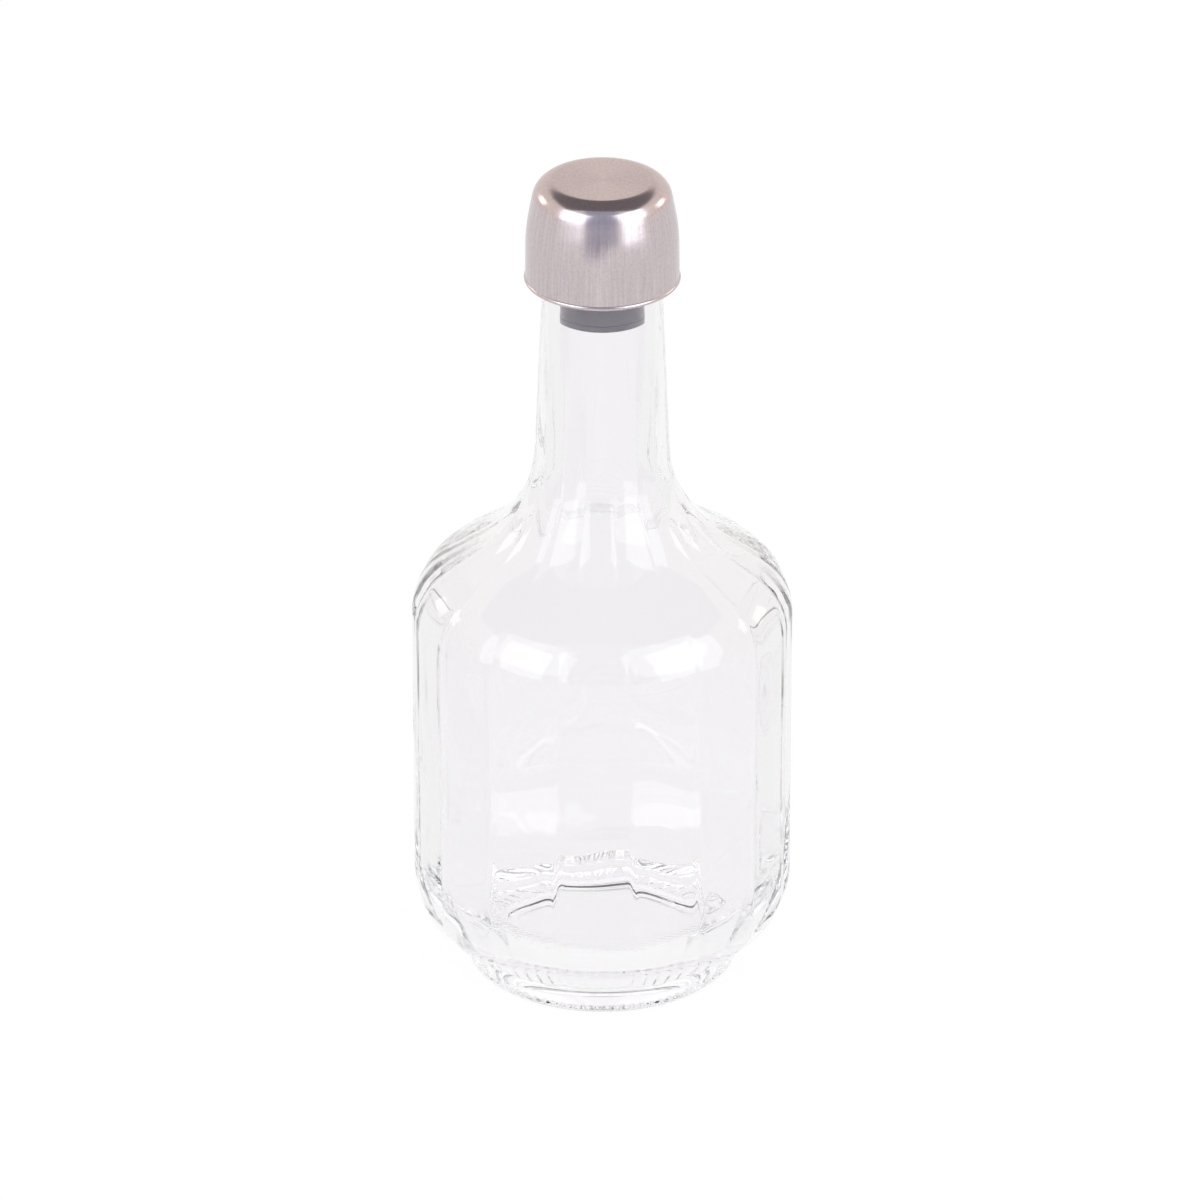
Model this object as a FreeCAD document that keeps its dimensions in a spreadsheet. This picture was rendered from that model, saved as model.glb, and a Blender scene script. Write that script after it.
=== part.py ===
"""Glass condiment cruet with a drawn metal cap on a moulded stopper.

Three pieces, each a sub-part of this document and a file of its own in parts/:

  bottle   one piece of glass: round foot, sixteen bowed panels that run over the heel,
           the side and the shoulder and fade out on the neck, smooth round cavity
  stopper  moulded plastic: a plug in the bore, and a head that sits on the mouth
  cap      thin drawn sheet: flat top, rounded corner, leaning shoulder, drafted skirt,
           rolled lip

Millimetres. +Z is up, the origin is at the centre of the foot's resting plane, and the
middle of one panel faces -Y. Every size is read from the spreadsheet.
"""
import FreeCAD, Part
import Sketcher
import collections
import math
import os

DIMENSIONS = {
    # bottle, outside
    "bottle_height": 170.0,
    "body_radius": 40.0,
    "foot_radius": 28.9,
    "foot_flare": 0.5,
    "foot_height": 6.5,
    "foot_edge_radius": 1.9,
    "foot_ledge": 1.0,
    "ledge_radius": 0.5,
    "hollow_radius": 22.5,
    "hollow_depth": 1.8,
    "hollow_blend_radius": 20.0,
    "heel_radius": 14.6,
    "shoulder_height": 81.3,
    "shoulder_radius": 13.2,
    "cone_angle": 34.0,
    "blend_radius": 29.0,
    "mouth_radius": 11.9,
    "neck_draft": 2.5,
    "ring_height": 3.0,
    "ring_bead": 0.3,
    "lip_radius": 1.0,
    "bore_chamfer": 0.5,
    # bottle, panels
    "panel_count": 16,
    "valley_depth": 0.5,
    "neck_valley_depth": 0.3,
    "panel_run_in": 3.0,
    "panel_run_out": 26.0,
    "plain_neck": 22.0,
    # bottle, inside
    "wall": 3.4,
    "floor_height": 8.4,
    "inner_heel_radius": 19.0,
    "inner_shoulder_radius": 11.5,
    "inner_cone_angle": 36.0,
    "bore_radius": 9.0,
    # stopper
    "plug_length": 19.2,
    "plug_clearance": 0.2,
    "bead_height": 1.4,
    "bead_clearance": 0.05,
    "plug_edge_radius": 0.5,
    "head_height": 10.4,
    "head_clearance": 0.4,
    # cap
    "cap_height": 22.4,
    "cap_radius": 15.95,
    "cap_draft": 0.6,
    "cap_shoulder_depth": 10.8,
    "cap_shoulder_lean": 11.0,
    "cap_shoulder_radius": 40.0,
    "cap_corner_radius": 4.5,
    "cap_sheet": 0.6,
    "cap_lip_radius": 0.55,
}

SECTION_STEP = 3.0      # distance between the points that carry a panel's surface
EVEN = 0.000001         # how far a panel may be from its mirror image
PANEL_POINTS = 5        # points across a panel
HOLLOW_SLOPE = 22       # degrees by which the hollow's side leaves the level at its rim

doc = FreeCAD.newDocument("cruet")


def fill_sheet():
    """Writes one row for each driving dimension: its name, and its value under an alias."""
    sheet = doc.addObject("Spreadsheet::Sheet", "sizes")
    for row, (alias, value) in enumerate(DIMENSIONS.items(), start=1):
        sheet.set(f"A{row}", alias)
        sheet.set(f"B{row}", str(value))
        sheet.setAlias(f"B{row}", alias)
    doc.recompute()
    return sheet


sizes = fill_sheet()


def size(alias):
    """One driving dimension, read back from the sheet."""
    return float(sizes.get(alias))


# ---- plane geometry of the turned outlines: x is the radius, y the height ----

def crossing(first, second):
    """The point where two lines, each a point and a direction, cross."""
    (px, py), (ux, uy) = first
    (qx, qy), (vx, vy) = second
    along = ((qx - px) * vy - (qy - py) * vx) / (ux * vy - uy * vx)
    return (px + along * ux, py + along * uy)


Bend = collections.namedtuple("Bend", "start middle end centre")


def rounded(before, corner, after, radius):
    """The arc that rounds a corner between two straight runs."""
    unit = []
    for point in (before, after):
        dx, dy = point[0] - corner[0], point[1] - corner[1]
        length = math.hypot(dx, dy)
        unit.append((dx / length, dy / length))
    (ux, uy), (vx, vy) = unit
    half = math.acos(max(-1.0, min(1.0, ux * vx + uy * vy))) / 2
    setback, reach = radius / math.tan(half), radius / math.sin(half)
    spread = math.hypot(ux + vx, uy + vy)
    bx, by = (ux + vx) / spread, (uy + vy) / spread
    centre = (corner[0] + bx * reach, corner[1] + by * reach)
    return Bend(start=(corner[0] + ux * setback, corner[1] + uy * setback),
                middle=(centre[0] - bx * radius, centre[1] - by * radius),
                end=(corner[0] + vx * setback, corner[1] + vy * setback),
                centre=centre)


# ---- the panelled blank ----

def outer_runs():
    """The outer meridian between the foot and the ring at the mouth, as edges."""
    body, heel = size("body_radius"), size("heel_radius")
    start = (size("foot_radius") + size("foot_flare") - size("foot_ledge"), size("foot_height"))
    middle = body - heel
    from_below = max(start[0] - middle, 0.0)
    centre = (middle, start[1] + math.sqrt(heel ** 2 - from_below ** 2))
    heel_angle = math.acos(from_below / heel)
    side = (body, centre[1])
    heel_start = (middle + from_below, start[1])
    heel_middle = (middle + heel * math.cos(heel_angle / 2), centre[1] - heel * math.sin(heel_angle / 2))

    wall = ((body, 0.0), (0.0, 1.0))
    angle = math.radians(size("cone_angle"))
    shoulder_radius = size("shoulder_radius")
    touch = (body - shoulder_radius * (1 - math.sin(angle)),
             size("shoulder_height") + shoulder_radius * math.cos(angle))
    cone = (touch, (-math.cos(angle), math.sin(angle)))
    draft = math.radians(size("neck_draft"))
    neck = ((size("mouth_radius"), size("bottle_height")), (-math.sin(draft), math.cos(draft)))
    ring = ((0.0, size("bottle_height") - size("ring_height")), (1.0, 0.0))

    shoulder_corner, neck_corner, top = crossing(wall, cone), crossing(cone, neck), crossing(neck, ring)
    shoulder = rounded(side, shoulder_corner, neck_corner, shoulder_radius)
    blend = rounded(shoulder_corner, neck_corner, top, size("blend_radius"))
    runs = [
        arc_edge(heel_start, heel_middle, side),
        line_edge(side, shoulder.start),
        arc_edge(*shoulder[:3]),
        line_edge(shoulder.end, blend.start),
        arc_edge(*blend[:3]),
        line_edge(blend.end, top),
    ]
    if start[0] < middle:
        runs.insert(0, line_edge(start, heel_start))
    return runs


def meridian(point):
    """A point of the outline as a point of the plane y = 0."""
    return FreeCAD.Vector(point[0], 0, point[1])


def arc_edge(start, middle, end):
    """An arc of the outline as an edge."""
    return Part.Arc(meridian(start), meridian(middle), meridian(end)).toShape()


def line_edge(start, end):
    """A straight run of the outline as an edge."""
    return Part.LineSegment(meridian(start), meridian(end)).toShape()


def outer_places(section_step):
    """Radius and height of points along the outer meridian, about one section step apart."""
    places = []
    for run in outer_runs():
        steps = max(1, round(run.Length / section_step))
        points = run.discretize(Number=steps + 1)
        places += [(point.x, point.z) for point in points[:-1]]
        last = points[-1]
    places.append((last.x, last.z))
    return places


def ease(value):
    """A smooth step from 0 to 1."""
    value = max(0.0, min(1.0, value))
    return value * value * (3 - 2 * value)


def valley(radius, height):
    """Depth of the valleys between the panels where the crests have a radius and a height."""
    run_in = ease((height - size("foot_height")) / size("panel_run_in"))
    run_out = ease((size("bottle_height") - size("plain_neck") - height) / size("panel_run_out"))
    share = (radius - size("mouth_radius")) / (size("body_radius") - size("mouth_radius"))
    full = size("neck_valley_depth") + share * (size("valley_depth") - size("neck_valley_depth"))
    return full * min(run_in, run_out)


def panel_surface(section_step):
    """One panel from the foot to the ring: across it, the radius falls off with the square of the
    distance from the middle, down to the valleys at its two edges."""
    half = math.pi / size("panel_count")
    grid = []
    for radius, height in outer_places(section_step):
        row = []
        for step in range(PANEL_POINTS):
            across = 2 * step / (PANEL_POINTS - 1) - 1
            reach = radius - valley(radius, height) * across ** 2
            angle = across * half
            row.append(FreeCAD.Vector(reach * math.cos(angle), reach * math.sin(angle), height))
        grid.append(row)
    surface = Part.BSplineSurface()
    surface.interpolate(grid)
    return surface


def lopsidedness(surface):
    """How far the surface's poles are from the mirror images of those across the middle."""
    return max((pole - FreeCAD.Vector(twin.x, -twin.y, twin.z)).Length
               for row in surface.getPoles() for pole, twin in zip(row, reversed(row)))


def panel_face():
    """The panel as a face. Its neighbours only meet it edge to edge if it is even about its
    middle, and the fit guesses its end slopes, so the sections move closer until it is."""
    section_step = SECTION_STEP
    surface = panel_surface(section_step)
    while lopsidedness(surface) > EVEN and section_step > SECTION_STEP / 2:
        section_step *= 0.97
        surface = panel_surface(section_step)
    return surface.toShape()


def end_face(panels, height):
    """The flat face that closes the ring of panels at one end."""
    edges = [edge for panel in panels for edge in panel.Edges
             if abs(edge.BoundBox.ZMin - height) < 0.001 and abs(edge.BoundBox.ZMax - height) < 0.001]
    return Part.Face(Part.Wire(Part.sortEdges(edges)[0]))


def panelled_blank():
    """Solid glass from the foot to the ring at the mouth: one panel, repeated about the axis."""
    count = int(size("panel_count"))
    first = panel_face()
    panels = []
    for index in range(count):
        panel = first.copy()
        panel.rotate(FreeCAD.Vector(0, 0, 0), FreeCAD.Vector(0, 0, 1), 360 * index / count)
        panels.append(panel)
    places = outer_places(SECTION_STEP)
    ends = [end_face(panels, height) for height in (places[0][1], places[-1][1])]
    shell = Part.Shell(panels + ends)
    shell.sewShape()
    blank = doc.addObject("Part::Feature", "panelled_blank")
    blank.Shape = Part.Solid(shell)
    return blank


# ---- turned features: closed outlines sketched in the XZ plane ----

def origin_item(body, role):
    """One of a body's own origin planes or axes."""
    return next(item for item in body.Origin.OriginFeatures if item.Role == role)


def value_of(expression):
    """The number that an expression of the sheet gives, an angle in degrees."""
    result = sizes.evalExpression(expression.replace("sizes.", ""))
    return float(getattr(result, "Value", result))


def flat(point):
    """A point of an outline in its sketch's own plane."""
    return FreeCAD.Vector(point[0], point[1], 0)


class Side:
    """One straight side of an outline, placed by expressions of the sheet.

    level    at a height
    upright  at a radius
    sloping  at an angle to the level, through a point; or tangent to the arc that rounds it
             off from an upright wall, when the arc's centre has a height of its own
    """

    def __init__(self, kind, at=None, angle=None, through=None, centre=None, wall=None):
        self.kind, self.at, self.angle = kind, at, angle
        self.through, self.centre, self.wall = through, centre, wall

    def line(self, rounding):
        """The side's endless line as a point and a direction."""
        if self.kind == "level":
            return (0.0, value_of(self.at)), (1.0, 0.0)
        if self.kind == "upright":
            return (value_of(self.at), 0.0), (0.0, 1.0)
        angle = math.radians(value_of(self.angle))
        heading = (math.cos(angle), math.sin(angle))
        if self.through:
            return (value_of(self.through[0]), value_of(self.through[1])), heading
        radius = value_of(rounding)
        centre = (value_of(self.wall) - radius, value_of(self.centre))
        return (centre[0] + radius * heading[1], centre[1] - radius * heading[0]), heading


class Outline:
    """A closed outline of straight sides with rounded or sharp corners, tied to the sheet."""

    def __init__(self, body, name, sides, roundings):
        """roundings[i] is the radius, as an expression, where side i begins, or None."""
        self.sketch = body.newObject("Sketcher::SketchObject", name)
        self.sketch.AttachmentSupport = (origin_item(body, "XZ_Plane"), [""])
        self.sketch.MapMode = "FlatFace"
        self.dimensions = 0
        self.sides, self.roundings = sides, roundings
        self.draw()

    def bind(self, *constraint, to):
        """Adds a dimension and ties it to an expression of the sheet."""
        self.dimensions += 1
        name = f"size{self.dimensions}"
        value = value_of(to)
        if constraint[0] == "Angle":
            value = math.radians(value)
        place = self.sketch.addConstraint(Sketcher.Constraint(*constraint, value))
        self.sketch.renameConstraint(place, name)
        self.sketch.setExpression(f"Constraints.{name}", to)

    def join(self, *constraint):
        """Adds a constraint without a dimension."""
        self.sketch.addConstraint(Sketcher.Constraint(*constraint))

    def draw(self):
        """Draws the sides between their corners and the arcs that round the corners."""
        total = len(self.sides)
        lines = [side.line(rounding) for side, rounding in zip(self.sides, self.roundings)]
        corners = [crossing(lines[index - 1], lines[index]) for index in range(total)]
        bends = []
        for index, rounding in enumerate(self.roundings):
            corner = corners[index]
            if rounding is None:
                bends.append(Bend(corner, corner, corner, corner))
            else:
                after = corners[(index + 1) % total]
                bends.append(rounded(corners[index - 1], corner, after, value_of(rounding)))

        drawn = []
        for index in range(total):
            start, end = bends[index].end, bends[(index + 1) % total].start
            drawn.append(self.sketch.addGeometry(Part.LineSegment(flat(start), flat(end)), False))
        for index, rounding in enumerate(self.roundings):
            if rounding is None:
                self.join("Coincident", drawn[index - 1], 2, drawn[index], 1)
            else:
                self.round_corner(drawn[index - 1], drawn[index], bends[index], self.sides[index], rounding)
        for line, side in zip(drawn, self.sides):
            self.place(line, side)

    def round_corner(self, line_in, line_out, bend, side, rounding):
        """An arc tangent to the lines on both sides of a corner."""
        start, end, centre = flat(bend.start), flat(bend.end), flat(bend.centre)
        anticlockwise = (start - centre).cross(end - centre).z > 0
        spokes = [point - centre for point in ((start, end) if anticlockwise else (end, start))]
        angles = [math.atan2(spoke.y, spoke.x) for spoke in spokes]
        circle = Part.Circle(centre, FreeCAD.Vector(0, 0, 1), spokes[0].Length)
        arc = self.sketch.addGeometry(Part.ArcOfCircle(circle, *angles), False)
        first, last = (1, 2) if anticlockwise else (2, 1)
        self.join("Tangent", line_in, 2, arc, first)
        self.join("Tangent", arc, last, line_out, 1)
        self.bind("Radius", arc, to=rounding)
        if side.centre:
            self.bind("DistanceY", -1, 1, arc, 3, to=side.centre)

    def place(self, line, side):
        """Gives one side its height, radius or angle."""
        if side.kind == "level":
            self.join("Horizontal", line)
            self.bind("DistanceY", -1, 1, line, 1, to=side.at)
        elif side.kind == "upright":
            self.join("Vertical", line)
            self.bind("DistanceX", -1, 1, line, 1, to=side.at)
        else:
            self.bind("Angle", line, to=side.angle)
            if side.through:
                point = Part.Point(flat([value_of(part) for part in side.through]))
                mark = self.sketch.addGeometry(point, True)
                self.bind("DistanceX", -1, 1, mark, 1, to=side.through[0])
                self.bind("DistanceY", -1, 1, mark, 1, to=side.through[1])
                self.join("PointOnObject", mark, 1, line)


def turn(body, kind, name, sides, roundings):
    """Turns an outline about the body's axis, as a Revolution that adds or a Groove that cuts."""
    outline = Outline(body, name + "_outline", sides, roundings)
    feature = body.newObject("PartDesign::" + kind, name)
    feature.Profile = outline.sketch
    feature.ReferenceAxis = (outline.sketch, ["V_Axis"])
    feature.Angle = 360
    outline.sketch.Visibility = False
    body.Tip = feature
    doc.recompute()
    return feature


AXIS = Side("upright", "0")


# ---- bottle ----

def make_bottle():
    """Panelled blank with a turned foot and mouth ring, a hollow below, and the cavity."""
    body = doc.addObject("PartDesign::Body", "bottle")
    body.BaseFeature = panelled_blank()
    doc.recompute()

    foot_side = Side("sloping", angle="90 deg - atan(sizes.foot_flare / sizes.foot_height)",
                     through=("sizes.foot_radius", "0"))
    turn(body, "Revolution", "foot",
         [Side("level", "0"), foot_side, Side("level", "sizes.foot_height"), AXIS],
         [None, "sizes.foot_edge_radius", "sizes.ledge_radius", None])

    mouth = "sizes.bottle_height"
    ring_foot = mouth + " - sizes.ring_height"
    bead = "sizes.mouth_radius + sizes.ring_height * tan(sizes.neck_draft * 1 deg) + sizes.ring_bead"
    turn(body, "Revolution", "ring",
         [Side("level", ring_foot), Side("upright", bead), Side("level", mouth), AXIS],
         [None, None, "sizes.lip_radius", None])

    hollow_side = Side("sloping", angle=f"{180 - HOLLOW_SLOPE} deg", through=("sizes.hollow_radius", "0"))
    turn(body, "Groove", "hollow",
         [Side("level", "0"), hollow_side, Side("level", "sizes.hollow_depth"), AXIS],
         [None, None, "sizes.hollow_blend_radius", None])

    wall = "sizes.body_radius - sizes.wall"
    cone = Side("sloping", angle="180 deg - sizes.inner_cone_angle * 1 deg",
                centre="sizes.shoulder_height", wall=wall)
    chamfer = Side("sloping", angle="45 deg",
                   through=("sizes.bore_radius + sizes.bore_chamfer", mouth))
    turn(body, "Groove", "cavity",
         [Side("level", "sizes.floor_height"), Side("upright", wall), cone,
          Side("upright", "sizes.bore_radius"), chamfer, Side("level", mouth), AXIS],
         [None, "sizes.inner_heel_radius", "sizes.inner_shoulder_radius", "sizes.blend_radius",
          None, None, None])
    return body


# ---- stopper ----

SEAT = "sizes.bottle_height"                                        # head on the mouth
HEAD_TOP = SEAT + " + sizes.head_height"                            # cap's top on the head
CAP_TOP = HEAD_TOP + " + sizes.cap_sheet"
CAP_FOOT = CAP_TOP + " - sizes.cap_height"
KNEE = CAP_TOP + " - sizes.cap_shoulder_depth"                      # skirt turns into shoulder
KNEE_RADIUS = ("sizes.cap_radius - (sizes.cap_height - sizes.cap_shoulder_depth)"
               " * tan(sizes.cap_draft * 1 deg)")


def skirt(inset="0"):
    """The skirt's side, drafted inward as it rises, or its copy further in."""
    return Side("sloping", angle="90 deg + sizes.cap_draft * 1 deg",
                through=(f"sizes.cap_radius - {inset}", CAP_FOOT))


def shoulder(inset="0"):
    """The side above the skirt, which leans further in, or its copy further in."""
    return Side("sloping", angle="90 deg + sizes.cap_shoulder_lean * 1 deg",
                through=(f"{KNEE_RADIUS} - {inset}", KNEE))


def make_stopper():
    """Plug in the bore with a sealing bead at its foot, and the head that fills the cap."""
    body = doc.addObject("PartDesign::Body", "stopper")
    foot = SEAT + " - sizes.plug_length"
    head_side = shoulder("(sizes.cap_sheet + sizes.head_clearance)")
    turn(body, "Revolution", "moulding",
         [Side("level", foot), Side("upright", "sizes.bore_radius - sizes.bead_clearance"),
          Side("level", foot + " + sizes.bead_height"),
          Side("upright", "sizes.bore_radius - sizes.plug_clearance"),
          Side("level", SEAT), head_side, Side("level", HEAD_TOP), AXIS],
         [None, "sizes.plug_edge_radius", None, None, None, None, "sizes.cap_corner_radius", None])
    return body


# ---- cap ----

def turn_lip(body):
    """The rolled lip: a bead of round section on the skirt's lower edge."""
    sketch = body.newObject("Sketcher::SketchObject", "lip_section")
    sketch.AttachmentSupport = (origin_item(body, "XZ_Plane"), [""])
    sketch.MapMode = "FlatFace"
    places = {"DistanceX": "sizes.cap_radius - sizes.cap_sheet / 2",
              "DistanceY": CAP_FOOT + " + sizes.cap_lip_radius"}
    centre = flat([value_of(expression) for expression in places.values()])
    circle = sketch.addGeometry(Part.Circle(centre, FreeCAD.Vector(0, 0, 1), size("cap_lip_radius")), False)
    for kind, expression in places.items():
        place = sketch.addConstraint(Sketcher.Constraint(kind, -1, 1, circle, 3, value_of(expression)))
        sketch.renameConstraint(place, kind)
        sketch.setExpression(f"Constraints.{kind}", expression)
    place = sketch.addConstraint(Sketcher.Constraint("Radius", circle, size("cap_lip_radius")))
    sketch.renameConstraint(place, "bead")
    sketch.setExpression("Constraints.bead", "sizes.cap_lip_radius")
    lip = body.newObject("PartDesign::Revolution", "rolled_lip")
    lip.Profile = sketch
    lip.ReferenceAxis = (sketch, ["V_Axis"])
    lip.Angle = 360
    sketch.Visibility = False
    body.Tip = lip
    doc.recompute()


def make_cap():
    """Drawn sheet: flat top, rounded corner, leaning shoulder, skirt open below, rolled lip."""
    body = doc.addObject("PartDesign::Body", "cap")
    turn(body, "Revolution", "drawn",
         [Side("level", CAP_FOOT), skirt(), shoulder(), Side("level", CAP_TOP), AXIS],
         [None, None, "sizes.cap_shoulder_radius", "sizes.cap_corner_radius", None])
    sheet = "sizes.cap_sheet"
    turn(body, "Groove", "inside",
         [Side("level", CAP_FOOT), skirt(sheet), shoulder(sheet), Side("level", HEAD_TOP), AXIS],
         [None, None, f"sizes.cap_shoulder_radius - {sheet}", f"sizes.cap_corner_radius - {sheet}", None])
    turn_lip(body)
    return body


# ---- check and export ----

def export(pieces):
    """Stops on a failed feature or an unsound shape, then writes one file for each piece."""
    for item in doc.Objects:
        if "Invalid" in item.State or "Error" in item.State:
            raise RuntimeError(f"{item.Name} failed: {item.State}")
    os.makedirs("parts", exist_ok=True)
    for piece in pieces:
        shape = piece.Shape
        if shape.isNull() or not shape.isValid() or len(shape.Solids) != 1:
            raise RuntimeError(f"{piece.Label} is not one sound solid")
        shape.exportStep(f"parts/{piece.Label}.step")
        print(f"{piece.Label}: {shape.Volume / 1000:.2f} cm3")


export([make_bottle(), make_stopper(), make_cap()])
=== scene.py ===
"""Looks of a glass condiment cruet: panelled bottle, moulded stopper and drawn metal cap.

Each piece is one closed surface: a meridian, which runs from pole to pole in the plane of
radius and height, is turned about the upright axis, and the bottle's radius and height are
then changed by formulas in the angle, which give its bowed panels and its notched foot.
Sizes are in millimetres until a mesh is written. The middle of one panel faces -Y.
"""

import logging
import math
from dataclasses import dataclass, field
from typing import Any, Callable

import bpy
import numpy as np
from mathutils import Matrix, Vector


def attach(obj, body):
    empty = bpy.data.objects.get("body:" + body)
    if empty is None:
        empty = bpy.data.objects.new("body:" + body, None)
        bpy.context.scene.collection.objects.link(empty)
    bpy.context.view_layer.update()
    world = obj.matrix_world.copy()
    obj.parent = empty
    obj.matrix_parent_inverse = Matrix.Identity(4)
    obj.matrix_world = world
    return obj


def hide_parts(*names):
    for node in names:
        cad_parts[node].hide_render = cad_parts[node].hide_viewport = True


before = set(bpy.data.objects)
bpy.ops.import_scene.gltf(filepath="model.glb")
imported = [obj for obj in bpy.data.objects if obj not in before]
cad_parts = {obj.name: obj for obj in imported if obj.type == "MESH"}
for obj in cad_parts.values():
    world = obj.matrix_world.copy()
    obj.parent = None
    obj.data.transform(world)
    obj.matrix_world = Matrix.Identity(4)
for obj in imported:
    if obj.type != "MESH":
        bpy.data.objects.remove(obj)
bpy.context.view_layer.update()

MM = 0.001
BODY = "root"
SHARP_BEND = 38.0       # degrees; faces that bend more than this meet at a visible edge
SAME_POINT = 1e-6       # millimetres; points nearer than this are one point
LOG = logging.getLogger("cruet")

Points = np.ndarray


# ---- colours and nodes ----

def linear(hex_colour: str) -> tuple[float, float, float, float]:
    """Turns an sRGB colour into linear light.

    Args:
        hex_colour: six hex digits, such as "F4F2F0".

    Returns:
        Red, green, blue and an alpha of 1.
    """
    parts = np.array([int(hex_colour[place:place + 2], 16) / 255 for place in (0, 2, 4)])
    light = np.where(parts <= 0.04045, parts / 12.92, ((parts + 0.055) / 1.055) ** 2.4)
    return (*(float(part) for part in light), 1.0)


def add_node(tree: bpy.types.NodeTree, kind: str, inputs: dict[Any, Any] | None = None,
             **settings: Any) -> bpy.types.Node:
    """Adds one node with its settings, and with values or links on its sockets.

    Args:
        tree: the node tree.
        kind: Blender's name for the node.
        inputs: socket name or number to a value, or to another node's output.
        settings: the node's own properties.

    Returns:
        The new node.
    """
    node = tree.nodes.new(kind)
    for name, value in settings.items():
        setattr(node, name, value)
    for socket, value in (inputs or {}).items():
        if isinstance(value, bpy.types.NodeSocket):
            tree.links.new(value, node.inputs[socket])
        else:
            node.inputs[socket].default_value = value
    return node


def new_material(name: str) -> tuple[bpy.types.Material, bpy.types.NodeTree]:
    """Makes an empty node material.

    Args:
        name: the material's name.

    Returns:
        The material and its node tree.
    """
    material = bpy.data.materials.new(name)
    material.use_nodes = True
    material.node_tree.nodes.clear()
    return material, material.node_tree


def close_tree(tree: bpy.types.NodeTree, shader: bpy.types.NodeSocket) -> None:
    """Leads a shader to the material's output."""
    add_node(tree, "ShaderNodeOutputMaterial", {"Surface": shader})


def noise(tree: bpy.types.NodeTree, place: bpy.types.NodeSocket, size_mm: float,
          detail: float) -> bpy.types.NodeSocket:
    """Noise of about the given size round a half, as a socket."""
    return add_node(tree, "ShaderNodeTexNoise", {"Vector": place, "Scale": 1 / (size_mm * MM),
                                                 "Detail": detail}).outputs[0]


# ---- finishes ----

@dataclass(frozen=True)
class ClearGlass:
    """Pressed soda-lime glass with the mirror-smooth skin that fire polishing leaves."""

    name: str = "pressed_clear_glass"
    colour: str = "FAF9FA"
    index: float = 1.5
    roughness: float = 0.0

    def material(self) -> bpy.types.Material:
        """Builds the glass shader.

        Returns:
            The material.
        """
        material, tree = new_material(self.name)
        glass = add_node(tree, "ShaderNodeBsdfPrincipled",
                         {"Base Color": linear(self.colour), "IOR": self.index,
                          "Roughness": self.roughness, "Transmission Weight": 1.0})
        close_tree(tree, glass.outputs["BSDF"])
        return material


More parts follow.
